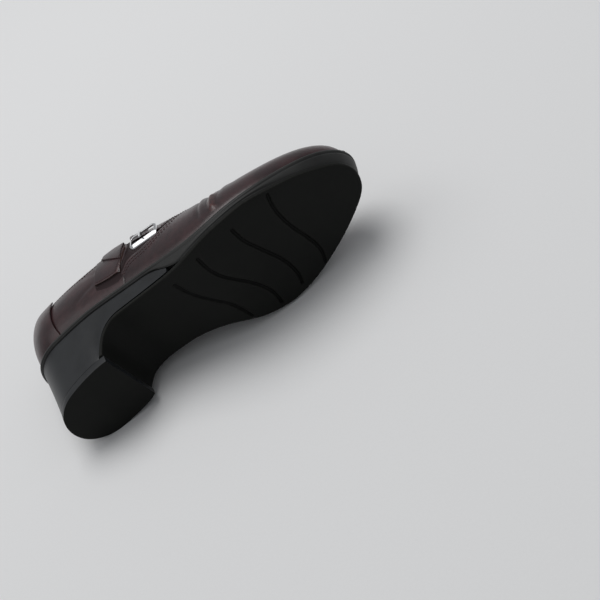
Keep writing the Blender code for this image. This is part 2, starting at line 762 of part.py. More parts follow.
def on_upper(x, w):
    """Point of the upper's outside."""
    side, turn = (-1, w) if w < 1 else (1, 2 - w)
    half, knee, rise, power = half_section(x, side)
    if turn < 0:
        foot = feather_point(x, widest.y(side, x))
        return np.array([x, widest.y(side, x), knee]) * (1 + turn) - foot * turn
    angle = turn * math.pi / 2
    across, up = math.cos(angle) ** (2 / power), math.sin(angle) ** (2 / power)
    return np.array([x, ridge_y(x) + side * half * across, knee + rise * up])


def off_upper(x, w, height):
    """Point a little above or below the upper's outside, along its normal."""
    step = 0.02
    along = on_upper(x + 0.5, w) - on_upper(x - 0.5, w)
    across = on_upper(x, min(w + step, 3.0)) - on_upper(x, max(w - step, -1.0))
    normal = np.cross(across, along)
    normal *= np.sign(normal[2] if 0.5 < w < 1.5 else normal[1] * (w - 1))
    return on_upper(x, w) + normal / np.linalg.norm(normal) * height


def seam(points, count):
    """Evenly spaced (x, w) points along a smooth line."""
    path = even(spline([(x, w * SWEEP) for x, w in points], 8), count)
    return [(x, w / SWEEP) for x, w in path]


def ruled(low, high, count):
    """Rows of (x, w) from one seam to another."""
    low, high = np.array(low), np.array(high)
    return [low + (high - low) * t for t in np.linspace(0, 1, count)]


def leaf(name, rows, bottom, top, made_of):
    """A sheet over the upper: rows of (x, w), with the height of its two faces row by row."""
    bottom = bottom if isinstance(bottom, (list, np.ndarray)) else [bottom] * len(rows)
    faces = [
        [[off_upper(x, w, height) for x, w in row] for row, height in zip(rows, heights)]
        for heights in (bottom, [top] * len(rows))
    ]
    return sheet(name, *faces, made_of)


def sheet(name, inner, outer, made_of):
    """A closed solid between two grids of points."""
    bm = bmesh.new()
    inner = [[bm.verts.new(p) for p in row] for row in inner]
    outer = [[bm.verts.new(p) for p in row] for row in outer]
    skin(bm, inner, closed=False)
    skin(bm, outer, closed=False)
    for low, high in ((inner[0], outer[0]), (inner[-1], outer[-1])):
        skin(bm, [low, high], closed=False)
    for end in (0, -1):
        skin(bm, [[row[end] for row in inner], [row[end] for row in outer]], closed=False)
    return new_piece(name, bm, made_of)


VAMP_LINE = [
    (101.5, 0.02), (105.5, 0.06), (111.0, 0.13), (123.0, 0.165), (136.0, 0.24), (147.0, 0.33),
    (157.0, 0.48), (165.0, 0.67), (169.5, 0.86), (170.5, 1.0), (168.0, 1.18), (162.0, 1.34),
    (152.0, 1.47), (145.0, 1.57), (141.0, 1.65),
]
QUARTER_EDGE = [
    (101.5, 0.06), (104.5, 0.11), (108.0, 0.17), (112.0, 0.25), (113.5, 0.34), (110.0, 0.49),
    (104.0, 0.7), (102.0, 1.0), (104.0, 1.22), (110.0, 1.3), (119.7, 1.38), (125.0, 1.55),
    (131.0, 1.7), (139.0, 1.71),
]
gusset_rows = ruled(seam(VAMP_LINE, 34), seam(QUARTER_EDGE, 34), 6)

TAB_UNDERSIDE = [(102.5, 0.055), (98.5, 0.05), (94.0, 0.045), (88.6, 0.045), (81.5, 0.06)]
TAB_SHADOW = [(102.5, -0.12), (98.5, -0.3), (94.0, -0.3), (88.6, -0.25), (81.5, -0.05)]
tab_rows = ruled(seam(TAB_UNDERSIDE, 9), seam(TAB_SHADOW, 9), 4)
cut(upper, leaf("tab_cutter", tab_rows, np.linspace(-RECESS, 0.4, 4), 4.0, leather))
cut(upper, leaf("gusset_cutter", gusset_rows, -RECESS, 4.0, leather))

# Wide instep strap set into the gusset, from the lateral side to a point on the medial side
SADDLE_ROWS = [
    # w, back x, front x
    (0.31, 124.0, 142.5),
    (0.38, 119.5, 148.5),
    (0.5, 116.0, 156.2),
    (0.7, 114.5, 164.0),
    (0.9, 114.0, 168.3),
    (1.0, 114.0, 168.8),
    (1.15, 115.0, 166.8),
    (1.3, 117.5, 162.0),
    (1.42, 121.5, 154.0),
    (1.52, 128.0, 147.0),
    (1.61, 136.5, 141.0),
]
saddle_back, saddle_front = steady(SADDLE_ROWS, 1), steady(SADDLE_ROWS, 2)
saddle_w = np.linspace(SADDLE_ROWS[0][0], SADDLE_ROWS[-1][0], 23)
saddle_rows = [[(x, w) for x in np.linspace(saddle_back(w), saddle_front(w), 10)] for w in saddle_w]
SADDLE_TOP = 0.2
saddle = leaf("instep_saddle", saddle_rows, GAP + 0.1 - RECESS, SADDLE_TOP, leather)

# Narrow strap over the saddle, from the buckle to the metal loop on the medial side
STRAP_ROWS = [
    # w, centre x
    (0.3, 126.0),
    (0.5, 122.5),
    (0.75, 119.0),
    (1.0, 117.5),
    (1.2, 117.0),
    (1.34, 117.0),
]
STRAP_WIDTH, STRAP_LOW, STRAP_THICK = 14.5, SADDLE_TOP + 0.35, 1.25
strap_centre = steady(STRAP_ROWS, 1)
strap_rows = [
    [(strap_centre(w) + across * STRAP_WIDTH / 2, w) for across in (-1, -0.5, 0, 0.5, 1)]
    for w in np.linspace(STRAP_ROWS[0][0], STRAP_ROWS[-1][0], 19)
]
strap = leaf("buckle_strap", strap_rows, STRAP_LOW, STRAP_LOW + STRAP_THICK, trim_leather)

# Strap end, lying on the lateral tab behind the buckle
end_rows = ruled(
    seam([(92.0, 0.33), (99.5, 0.245), (107.5, 0.18)], 7),
    seam([(93.5, 0.4), (102.0, 0.41), (111.5, 0.42)], 7),
    5,
)
strap_end = leaf("strap_end", end_rows, GAP + 0.1, 1.8, trim_leather)


def wire(name, route, radius, made_of, closed=False, sides=8):
    """A round wire along points."""
    route = [np.array(p) for p in route]
    turns = [2 * math.pi * k / sides for k in range(sides)]
    bm = bmesh.new()
    rings = []
    for i, here in enumerate(route):
        before = route[i - 1] if closed or i else here
        after = route[(i + 1) % len(route)] if closed or i < len(route) - 1 else here
        along = Vector(after - before).normalized()
        across = along.cross(Vector((0.3, 0.5, 0.8))).normalized()
        up = along.cross(across)
        around = [Vector(here) + (across * math.cos(t) + up * math.sin(t)) * radius for t in turns]
        rings.append([bm.verts.new(p) for p in around])
    skin(bm, rings + (rings[:1] if closed else []))
    if not closed:
        bm.faces.new(rings[0])
        bm.faces.new(rings[-1])
    return new_piece(name, bm, made_of)


def ring_route(corners):
    """Points round a loop through (x, w, height) corners, with each corner rounded off."""
    route = []
    for i, corner in enumerate(corners):
        here = np.array(corner)
        back = np.array(corners[i - 1]) - here
        ahead = np.array(corners[(i + 1) % len(corners)]) - here
        turn = (back + ahead) * 0.04
        steps = [back * 0.32, back * 0.14, turn, ahead * 0.14, ahead * 0.32, ahead * 0.5]
        route += [off_upper(*(here + step)) for step in steps]
    return route


# Buckle: frame, prong, and the loop at the strap's other end
WIRE = 1.2
BUCKLE = [(116.5, 0.225, 1.4), (137.5, 0.28, 1.4), (136.5, 0.43, 3.5), (115.5, 0.41, 3.5)]
buckle_frame = wire("buckle_frame", ring_route(BUCKLE), WIRE, steel, closed=True)
PRONG = [(126.3, 0.39, 3.3), (126.6, 0.345, 3.3), (126.8, 0.29, 3.5), (127.0, 0.25, 3.7)]
prong = wire("buckle_prong", [off_upper(*p) for p in PRONG], 0.8, steel, sides=6)
LOOP = [(108.0, 1.29, 3.6), (126.0, 1.29, 3.6), (125.0, 1.4, 2.0), (109.0, 1.4, 2.0)]
strap_loop = wire("strap_loop", ring_route(LOOP), WIRE, steel, closed=True)

# Counter: leather cup round the back of the heel
COUNTER_FOOT, COUNTER_TOP = 40.5, 42.5


def counter_columns():
    feet, tops = [], []
    for x, y in even(round_heel(COUNTER_FOOT), 21):
        side = -1 if y < 0 else 1
        ahead = x + (COUNTER_TOP - COUNTER_FOOT) * (x / COUNTER_FOOT) ** 2
        feet.append([x, y])
        tops.append(topline_point(ahead, side))
    return feet, tops


def counter_cup():
    columns = np.array([hood_column(foot, top) for foot, top in zip(*counter_columns())])
    columns = np.delete(columns, range(3, WALL_ROWS + 1, 2), axis=1)
    normals = grid_normals(columns, wrap=False)
    if normals[0, 3, 1] > 0:
        normals = -normals
    inner, outer = columns + normals * (GAP + 0.1), columns + normals * 1.6
    for face in (inner, outer):
        face[:, 0, 2] = columns[:, 0, 2]
    return sheet("counter", inner, outer, leather)


counter = counter_cup()
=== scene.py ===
import math

import bmesh
import bpy
import numpy as np
from mathutils import Euler, Matrix, Vector
from mathutils.bvhtree import BVHTree


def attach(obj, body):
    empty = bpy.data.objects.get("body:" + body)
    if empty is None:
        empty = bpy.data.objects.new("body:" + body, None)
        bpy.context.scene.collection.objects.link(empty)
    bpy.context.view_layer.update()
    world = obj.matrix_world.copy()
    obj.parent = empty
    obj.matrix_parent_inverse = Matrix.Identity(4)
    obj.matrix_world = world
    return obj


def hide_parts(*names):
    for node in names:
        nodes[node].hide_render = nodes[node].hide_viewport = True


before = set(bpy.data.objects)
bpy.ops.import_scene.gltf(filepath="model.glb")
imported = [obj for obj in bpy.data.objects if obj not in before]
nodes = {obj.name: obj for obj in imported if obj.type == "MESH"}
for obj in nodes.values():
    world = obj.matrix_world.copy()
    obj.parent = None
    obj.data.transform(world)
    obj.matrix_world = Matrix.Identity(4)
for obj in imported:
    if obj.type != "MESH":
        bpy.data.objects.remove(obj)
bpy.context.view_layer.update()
mm = 0.001

# The shoe's own frame is in millimetres: x runs from heel to toe, y to the inner side and z up
# from the ground it would stand on. laid takes it to the lying shoe's place, and stood back.
lying = {"turn": (-87.931, -9.225, 0.0), "place": (-134.505, -58.875, 17.931)}
laid = (
    Matrix.Translation(Vector(lying["place"]) * mm)
    @ Euler([math.radians(a) for a in lying["turn"]]).to_matrix().to_4x4()
    @ Matrix.Scale(mm, 4)
)
stood = laid.inverted()

# A line down the middle of the foot, which points on the upper are turned around
footAxis = {
    "x": (6, 40, 60, 80, 100, 115, 130, 150, 170, 200, 230, 262),
    "y": (2, 3, 4, 5, 6, 7, 8, 8, 8, 8, 8, 9),
    "z": (78, 74, 70, 64, 56, 48, 40, 33, 29, 28, 31, 36),
    "fanned": (40, 235),
}


def axisAt(x):
    return Vector((x, *(np.interp(x, footAxis["x"], footAxis[key]) for key in ("y", "z"))))


def fromAxis(where):
    # from the axis to each point; beyond its fanned ends they spread out from one spot
    x = where[:, 0]
    across, up = (np.interp(x, footAxis["x"], footAxis[key]) for key in ("y", "z"))
    return where - np.stack([np.clip(x, *footAxis["fanned"]), across, up], axis=1)


# Shader sums and finishes
class Flow:
    # a shader socket that takes part in sums
    def __init__(self, finish, socket):
        self.finish = finish
        self.socket = socket

    def join(self, operation, first, second):
        return self.finish.node("ShaderNodeMath", {"operation": operation}, {0: first, 1: second})

    def __add__(self, other):
        return self.join("ADD", self, other)

    def __radd__(self, other):
        return self.join("ADD", other, self)

    def __sub__(self, other):
        return self.join("SUBTRACT", self, other)

    def __rsub__(self, other):
        return self.join("SUBTRACT", other, self)

    def __mul__(self, other):
        return self.join("MULTIPLY", self, other)

    def __rmul__(self, other):
        return self.join("MULTIPLY", other, self)

    def within(self, low, high):
        # 0 below low and 1 above high
        limits = {"Value": self, "From Min": low, "From Max": high}
        return self.finish.node("ShaderNodeMapRange", {"interpolation_type": "SMOOTHSTEP"}, limits)


class Finish:
    # one material, built outwards from its Principled shader
    def __init__(self, name, **fixed):
        self.material = bpy.data.materials.new(name)
        self.material.use_nodes = True
        self.tree = self.material.node_tree
        self.shader = self.tree.nodes["Principled BSDF"]
        for socket, value in fixed.items():
            self.shader.inputs[socket.replace("_", " ")].default_value = value

    def node(self, kind, settings=None, sockets=None, out=0):
        made = self.tree.nodes.new(kind)
        for key, value in (settings or {}).items():
            setattr(made, key, value)
        for key, value in (sockets or {}).items():
            self.feed(made.inputs[key], value)
        return Flow(self, made.outputs[out])

    def feed(self, socket, value):
        if isinstance(value, Flow):
            self.tree.links.new(value.socket, socket)
        elif socket.type == "RGBA":
            socket.default_value = (*value, 1.0)
        else:
            socket.default_value = value

    def noise(self, size, detail=3.0, rough=0.5, stretch=(1.0, 1.0, 1.0)):
        # size is the width of one blotch in millimetres
        place = self.node("ShaderNodeTexCoord", out="Object")
        if stretch != (1.0, 1.0, 1.0):
            place = self.node("ShaderNodeMapping", None, {"Vector": place, "Scale": stretch})
        sockets = {"Vector": place, "Scale": 1 / (size * mm), "Detail": detail, "Roughness": rough}
        return self.node("ShaderNodeTexNoise", None, sockets)

    def cells(self, size):
        place = self.node("ShaderNodeTexCoord", out="Object")
        return self.node("ShaderNodeTexVoronoi", None, {"Vector": place, "Scale": 1 / (size * mm)})

    def mask(self, name):
        return self.node("ShaderNodeAttribute", {"attribute_name": name}, out="Fac")

    def mix(self, amount, first, second):
        # 6 and 7 are the node's two colours going in, and 2 is the colour coming out
        sockets = {"Factor": amount, 6: first, 7: second}
        return self.node("ShaderNodeMix", {"data_type": "RGBA"}, sockets, 2)

    def layered(self, colour, *layers):
        # lays (amount, colour) layers over a colour, one after another
        for amount, over in layers:
            colour = self.mix(amount, colour, over)
        return colour

    def give(self, colour, roughness, height, depth, coat=None):
        self.feed(self.shader.inputs["Base Color"], colour)
        self.feed(self.shader.inputs["Roughness"], roughness)
        if coat is not None:
            self.feed(self.shader.inputs["Coat Weight"], coat)
        sockets = {"Strength": 1.0, "Distance": depth * mm, "Height": height}
        bump = self.node("ShaderNodeBump", None, sockets, "Normal")
        self.feed(self.shader.inputs["Normal"], bump)
        return self.material


def scaled(colour, share):
    return tuple(c * share for c in colour)


# deep also darkens the creases, as painted shade; shade is the painted shade in hollows, in the
# gusset and under the tab
leatherLook = {
    "deep": (0.0062, 0.0024, 0.003), "shade": (0.0112, 0.0031, 0.0039),
    "ground": (0.0185, 0.0055, 0.0068), "rubbed": (0.034, 0.0095, 0.011),
    "edge": (0.105, 0.036, 0.032), "raw": (0.13, 0.072, 0.052),
    "pore": 0.62, "wrinkle": 2.6, "blotch": 15.0, "stretch": (1.0, 0.35, 1.0), "relief": 0.11,
    "roughness": 0.36, "coat": 0.36, "coatRoughness": 0.27, "gloss": 0.24,
    "cover": {
        "streak": 0.45, "fine": 0.4, "crease": 0.6, "dirtAndShade": 0.9,
        "wear": 0.55, "rub": 0.8, "raw": 0.75,
    },
}


def burnishedLeather(name, look, light=1.0):
    # light scales the colours; below 1 it gives a darker copy of the leather as painted shade
    finish = Finish(name, Coat_Roughness=look["coatRoughness"], Specular_IOR_Level=look["gloss"])
    cover = look["cover"]
    blotch = finish.noise(look["blotch"], 4.0, 0.6)
    streak = finish.noise(look["wrinkle"] * 3, 5.0, 0.65, look["stretch"])
    fine = finish.noise(look["wrinkle"], 5.0, 0.65)
    pores = finish.cells(look["pore"])
    dirtyAndShaded = finish.mask("dirtAndShade").within(0.1, 0.9)
    worn = finish.mask("wear").within(0.3, 1.0) * fine.within(0.3, 0.6)
    deep, ground, rubbed = (scaled(look[key], light) for key in ("deep", "ground", "rubbed"))
    colour = finish.layered(
        ground,
        (blotch.within(0.35, 0.65), rubbed),
        (streak.within(0.5, 0.75) * cover["streak"], deep),
        ((1 - fine).within(0.45, 0.75) * cover["fine"], deep),
        # creases darkened towards deep: painted shade in the folds, with the seams as dark lines
        (finish.mask("crease").within(0.05, 0.8) * cover["crease"], deep),
        # painted shade in hollows, in the gusset and under the tab, with some dirt; the coat's
        # gloss is taken away there too
        (dirtyAndShaded * cover["dirtAndShade"], look["shade"]),
        (worn * cover["wear"], look["edge"]),
        (finish.mask("rub") * fine.within(0.35, 0.6) * cover["rub"], look["edge"]),
        (finish.mask("raw").within(0.35, 0.8) * cover["raw"], look["raw"]),
    )
    height = fine * 0.75 + pores * 0.3 + streak * 0.5
    rough = look["roughness"] + (blotch - 0.5) * 0.16 + (fine - 0.5) * 0.14
    rough = rough + worn * 0.12 + dirtyAndShaded * 0.25
    coat = (look["coat"] + (blotch - 0.5) * 0.3 - worn * 0.12) * (1 - dirtyAndShaded)
    return finish.give(colour, rough, height, look["relief"], coat)


liningLook = {
    "ground": (0.115, 0.068, 0.045), "light": (0.18, 0.115, 0.078), "deep": (0.075, 0.043, 0.029),
    "grimeAndShade": (0.04, 0.024, 0.017), "foot": (0.055, 0.034, 0.025),
    "blotch": 22.0, "grain": 1.1, "roughness": 0.55, "relief": 0.12,
}


def liningLeather(name, look):
    finish = Finish(name)
    blotch = finish.noise(look["blotch"], 4.0, 0.6)
    fine = finish.noise(look["grain"], 4.0, 0.6)
    colour = finish.layered(
        look["ground"],
        (blotch.within(0.3, 0.7), look["light"]),
        ((1 - fine).within(0.4, 0.8) * 0.4, look["deep"]),
        # hollows darker: dirt and painted shade
        (finish.mask("dirtAndShade").within(0.1, 0.9) * 0.6, look["grimeAndShade"]),
        (finish.mask("foot") * blotch.within(0.3, 0.6) * 0.6, look["foot"]),
    )
    rough = look["roughness"] + (fine - 0.5) * 0.2
    return finish.give(colour, rough, fine + blotch * 0.5, look["relief"])


rubberMarks = {  # the same on every rubber
    "blotch": 24.0, "scratch": 7.0, "stretch": (1.0, 1.0, 0.25), "lighter": 1.55, "darker": 0.3,
    "coatRoughness": 0.35,
}


def mouldedRubber(name, look):
    marks = rubberMarks
    finish = Finish(name, Specular_IOR_Level=look["gloss"], Coat_Roughness=marks["coatRoughness"])
    blotch = finish.noise(marks["blotch"], 5.0, 0.6)
    speckle = finish.noise(look["grain"], 3.0, 0.6)
    scratch = finish.noise(marks["scratch"], 6.0, 0.75, marks["stretch"])
    dust = scratch.within(0.56, 0.8) * speckle.within(0.45, 0.7)
    worn = finish.mask("wear").within(0.35, 1.0) * (0.4 + speckle * 0.8)
    light, dark = (scaled(look["ground"], marks[key]) for key in ("lighter", "darker"))
    colour = finish.layered(
        look["ground"],
        (blotch.within(0.35, 0.7), light),
        (dust * look["dusty"], look["dust"]),
        # hollows darker: dirt and painted shade
        (finish.mask("dirtAndShade").within(0.08, 0.8) * 0.9, dark),
        (worn * look["worn"], look["dust"]),
        (finish.mask("rub") * scratch.within(0.3, 0.6), dark),
    )
    height = speckle * 0.5 + scratch * 0.6
    rough = look["roughness"] + (blotch - 0.5) * 0.22 + dust * 0.15 + worn * 0.1
    return finish.give(colour, rough, height, look["relief"], look["coat"] * blotch)


steelLook = {
    "bright": (0.86, 0.86, 0.87), "dull": (0.66, 0.66, 0.67), "grimeAndShade": (0.12, 0.11, 0.1),
    "brush": 0.5, "blotch": 3.0, "roughness": 0.1, "relief": 0.01,
}


def polishedSteel(name, look):
    finish = Finish(name, Metallic=1.0)
    brushed = finish.noise(look["brush"], 3.0, 0.6)
    blotch = finish.noise(look["blotch"], 4.0, 0.6)
    colour = finish.layered(
        look["bright"],
        (blotch.within(0.4, 0.8), look["dull"]),
        # the buckle's hollows darker: grime and painted shade
        (finish.mask("dirtAndShade").within(0.2, 1.0) * 0.7, look["grimeAndShade"]),
    )
    rough = look["roughness"] + (brushed - 0.5) * 0.1 + blotch * 0.08
    return finish.give(colour, rough, brushed, look["relief"])


threadLook = {"twist": 0.45, "lighter": 1.9, "roughness": 0.55, "relief": 0.06}


def waxedThread(name, colour, look):
    finish = Finish(name)
    twist = finish.noise(look["twist"], 2.0, 0.5)
    colour = finish.mix(twist.within(0.3, 0.7), colour, scaled(colour, look["lighter"]))
    rough = look["roughness"] + (twist - 0.5) * 0.2
    return finish.give(colour, rough, twist, look["relief"])


soleLook = {
    "ground": (0.0046, 0.005, 0.0043), "dust": (0.036, 0.036, 0.032), "dusty": 0.25, "worn": 0.5,
    "gloss": 0.13, "grain": 0.6, "roughness": 0.6, "relief": 0.12, "coat": 0.0,
}
heelLook = {
    "ground": (0.0085, 0.0095, 0.0108), "dust": (0.042, 0.044, 0.047), "dusty": 0.12, "worn": 0.35,
    "gloss": 0.3, "grain": 0.9, "roughness": 0.4, "relief": 0.05, "coat": 0.16,
}
randLook = {
    "ground": (0.0125, 0.0128, 0.0122), "dust": (0.055, 0.052, 0.047), "dusty": 0.25, "worn": 0.6,
    "gloss": 0.28, "grain": 0.7, "roughness": 0.52, "relief": 0.1, "coat": 0.1,
}
leather = burnishedLeather("burnishedLeather", leatherLook)
# the strap and its end take a darker copy of the same leather, as painted shade
shadedStrapLeather = burnishedLeather("shadedStrapLeather", leatherLook, 0.8)
lining = liningLeather("liningLeather", liningLook)
soleRubber = mouldedRubber("soleRubber", soleLook)
heelRubber = mouldedRubber("heelRubber", heelLook)
randRubber = mouldedRubber("randRubber", randLook)
steel = polishedSteel("polishedSteel", steelLook)
upperThread = waxedThread("upperThread", (0.038, 0.016, 0.017), threadLook)
randThread = waxedThread("randThread", (0.05, 0.047, 0.042), threadLook)
print("finishes made")

# Making and measuring pieces, with angles in degrees and lengths in millimetres
edgeLimits = {"welded": 0.01, "flat": 25, "square": 50, "hard": 35, "sharp": 50}


def copyOf(node):
    bm = bmesh.new()
    bm.from_mesh(nodes[node].data)
    bmesh.ops.remove_doubles(bm, verts=bm.verts, dist=edgeLimits["welded"] * mm)
    bmesh.ops.join_triangles(
        bm, faces=bm.faces, angle_face_threshold=math.radians(edgeLimits["flat"]),
        angle_shape_threshold=math.radians(edgeLimits["square"]),
    )
    return bm


def edgesOver(bm, degrees):
    return [edge for edge in bm.edges if edge.calc_face_angle(0) > math.radians(degrees)]


def bevelled(bm, parts, offset, segments, affect="EDGES"):
    bmesh.ops.bevel(
        bm, geom=parts, offset=offset, offset_type="OFFSET", segments=segments, profile=0.5,
        affect=affect, clamp_overlap=True, material=-1,
    )


def pieceFrom(bm, name, *materials):
    mesh = bpy.data.meshes.new(name)
    bm.to_mesh(mesh)
    bm.free()
    mesh.shade_smooth()
    piece = bpy.data.objects.new(name, mesh)
    bpy.context.scene.collection.objects.link(piece)
    for material in materials:
        mesh.materials.append(material)
    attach(piece, "root")
    return piece


def applied(piece, *modifiers):
    # works modifiers, given as (kind, settings), into the mesh
    for kind, settings in modifiers:
        modifier = piece.modifiers.new(kind.lower(), kind)
        for key, value in settings.items():
            setattr(modifier, key, value)
    finished = piece.evaluated_get(bpy.context.evaluated_depsgraph_get())
    shaped = bpy.data.meshes.new_from_object(finished)
    piece.modifiers.clear()
    old, piece.data = piece.data, shaped
    bpy.data.meshes.remove(old)
    shaped.name = piece.name
    shaped.shade_smooth()
    return piece


def remeshed(node, name, grain, passes, *materials):
    # the solid, smoothed between its hard edges and given an even, fine skin
    bm = copyOf(node)
    crease = bm.edges.layers.float.new("crease_edge")
    for edge in edgesOver(bm, edgeLimits["hard"]):
        edge[crease] = 1.0
    piece = pieceFrom(bm, name, *materials)
    applied(
        piece,
        ("SUBSURF", {"levels": 1, "render_levels": 1}),
        ("REMESH", {"mode": "VOXEL", "voxel_size": grain * mm, "use_smooth_shade": True}),
        ("SMOOTH", {"factor": 0.5, "iterations": passes}),
    )
    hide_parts(node)
    return piece


def rounded(node, name, edge, levels, *materials):
    # the solid with its hard edges rounded over, then smoothed
    bm = copyOf(node)
    bevelled(bm, edgesOver(bm, edgeLimits["hard"]), edge * mm, 2)
    piece = pieceFrom(bm, name, *materials)
    applied(piece, ("SUBSURF", {"levels": levels, "render_levels": levels}))
    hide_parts(node)
    return piece


def coordsOf(mesh):
    # points in the shoe's own frame, and their normals
    count = len(mesh.vertices)
    where, facing = np.empty(count * 3), np.empty(count * 3)
    mesh.vertices.foreach_get("co", where)
    mesh.vertices.foreach_get("normal", facing)
    turn = np.array(stood)
    where = where.reshape(-1, 3) @ turn[:3, :3].T + turn[:3, 3]
    facing = facing.reshape(-1, 3) @ np.array(stood.to_3x3().normalized()).T
    return where, facing


def putBack(mesh, where):
    turn = np.array(laid)
    mesh.vertices.foreach_set("co", (where @ turn[:3, :3].T + turn[:3, 3]).ravel())
    mesh.update()


def setMask(mesh, name, values):
    # a value from 0 to 1 at each point, which a finish reads by its name
    if name in mesh.attributes:
        mesh.attributes.remove(mesh.attributes[name])
    layer = mesh.attributes.new(name, "FLOAT", "POINT")
    layer.data.foreach_set("value", np.clip(values, 0, 1).astype(float))


def maskOf(mesh, name):
    values = np.empty(len(mesh.vertices))
    mesh.attributes[name].data.foreach_get("value", values)
    return values


def eased(mesh, where, steps):
    # each point drawn halfway to the middle of its neighbours, over and over
    ends = np.empty(len(mesh.edges) * 2, int)
    mesh.edges.foreach_get("vertices", ends)
    first, second = ends.reshape(-1, 2).T
    points = len(where)
    count = np.bincount(ends, minlength=points)[:, None]
    for _ in range(steps):
        around = [
            np.bincount(first, value[second], points) + np.bincount(second, value[first], points)
            for value in where.T
        ]
        where = (where + np.stack(around, axis=1) / count) / 2
    return where


def weathered(piece, reach=6, full=0.22, broad=0):
    # marks edges that stand out as wear, and hollows as dirt and painted shade; broad also finds
    # wide hollows, so that shade is painted in them too
    mesh = piece.data
    where, facing = coordsOf(mesh)
    near = eased(mesh, where, reach)
    bulge = ((where - near) * facing).sum(1) / full
    dirtAndShade = -bulge
    if broad:
        wide = eased(mesh, near, broad)
        dirtAndShade = np.maximum(dirtAndShade, ((wide - where) * facing).sum(1) / (full * 2))
    setMask(mesh, "wear", bulge)
    setMask(mesh, "dirtAndShade", dirtAndShade)
    return piece


def curveThrough(points, count, spanSteps=12):
    # evenly spaced points on a smooth curve
    points = [np.array(p, float) for p in points]
    points = [2 * points[0] - points[1]] + points + [2 * points[-1] - points[-2]]
    fine = []
    for a, b, c, d in zip(points, points[1:], points[2:], points[3:]):
        for t in np.linspace(0, 1, spanSteps, endpoint=False):
            bend = (2 * a - 5 * b + 4 * c - d) * t * t + (3 * b - a - 3 * c + d) * t**3
            fine.append(0.5 * (2 * b + (c - a) * t + bend))
    fine.append(points[-2])
    return evenly(np.array(fine), count)


def evenly(path, count):
    lengths = np.concatenate([[0], np.cumsum(np.linalg.norm(np.diff(path, axis=0), axis=1))])
    at = np.linspace(0, lengths[-1], count)
    return np.stack([np.interp(at, lengths, path[:, k]) for k in range(path.shape[1])], axis=1)


def surfaceOf(*pieces):
    bm = bmesh.new()
    for piece in pieces:
        bm.from_mesh(piece.data)
    bmesh.ops.transform(bm, matrix=stood, verts=bm.verts)
    tree = BVHTree.FromBMesh(bm)
    bm.free()
    return tree


wellOutside = 130


def spotAt(tree, x, angle):
    # the outermost spot of a surface at an angle around the foot's axis, its normal, and the
    # way out; 0 degrees faces the outer side and 90 up
    away = Vector((0, -math.cos(math.radians(angle)), math.sin(math.radians(angle))))
    hit, normal, _, _ = tree.ray_cast(axisAt(x) + away * wellOutside, -away)
    return hit, normal, away


def spotsAround(tree, points, count=60):
    # a line over the upper through (x, angle) points, as places and normals
    found = [spotAt(tree, x, angle)[:2] for x, angle in curveThrough(points, count)]
    places, normals = zip(*(spot for spot in found if spot[0] is not None))
    return np.array(places), np.array(normals)


def spotsNear(tree, points, count=60):
    # the same, for a line through points close to the surface
    found = [tree.find_nearest(Vector(point))[:2] for point in curveThrough(points, count)]
    places, normals = zip(*found)
    return np.array(places), np.array(normals)


def soak(where, path, width, fade=0.25):
    # how close points lie to a path: 1 on it, softly to 0, and fading out at its ends
    best, along = np.full(len(where), 1e9), np.zeros(len(where))
    reach = 4 * width
    near = np.flatnonzero(((where > path.min(0) - reach) & (where < path.max(0) + reach)).all(1))
    for i, (start, run) in enumerate(zip(path, np.diff(path, axis=0))):
        t = np.clip(((where[near] - start) @ run) / max(run @ run, 1e-9), 0, 1)
        gap = np.linalg.norm(where[near] - start - t[:, None] * run, axis=1)
        closer = gap < best[near]
        best[near[closer]], along[near[closer]] = gap[closer], (i + t[closer]) / (len(path) - 1)
    ends = np.clip(np.minimum(along, 1 - along) / max(fade, 1e-3), 0, 1)
    return np.exp(-((best / width) ** 2)) * ends * ends * (3 - 2 * ends)


def pressed(piece, lines):
    # presses (path, depth, width, fade) lines into a piece; a negative depth raises them
    mesh = piece.data
    where, facing = coordsOf(mesh)
    push = np.zeros(len(where))
    for path, depth, width, fade in lines:
        push -= depth * soak(where, path, width, fade)
    putBack(mesh, where + facing * push[:, None])
    return piece


stitchLook = {
    "leather": {"pitch": 2.5, "length": 2.0, "width": 0.62, "height": 0.5},
    "sole": {"pitch": 3.6, "length": 2.6, "width": 0.8, "height": 0.7},
}


def stitched(name, lines, thread, look):
    # short stitches laid end to end along lines of places and normals
    bm = bmesh.new()
    for places, normals in lines:
        total = np.linalg.norm(np.diff(places, axis=0), axis=1).sum()
        count = max(int(total / look["pitch"]), 1) * 2 + 1
        spots = evenly(places, count)
        ups = normals[np.linspace(0, len(normals) - 1, count).round().astype(int)]
        for i in range(1, count, 2):
            along = Vector(spots[min(i + 1, count - 1)] - spots[i - 1]).normalized()
            side = Vector(ups[i]).cross(along).normalized()
            up = along.cross(side)
            sizes = (along * look["length"], side * look["width"], up * look["height"])
            shape = np.eye(4)
            shape[:3, :3] = np.array(sizes).T / 2
            shape[:3, 3] = spots[i] + np.array(up) * look["height"] * 0.1
            bmesh.ops.create_uvsphere(
                bm, u_segments=6, v_segments=4, radius=1.0, matrix=laid @ Matrix(shape)
            )
    return pieceFrom(bm, name, thread)
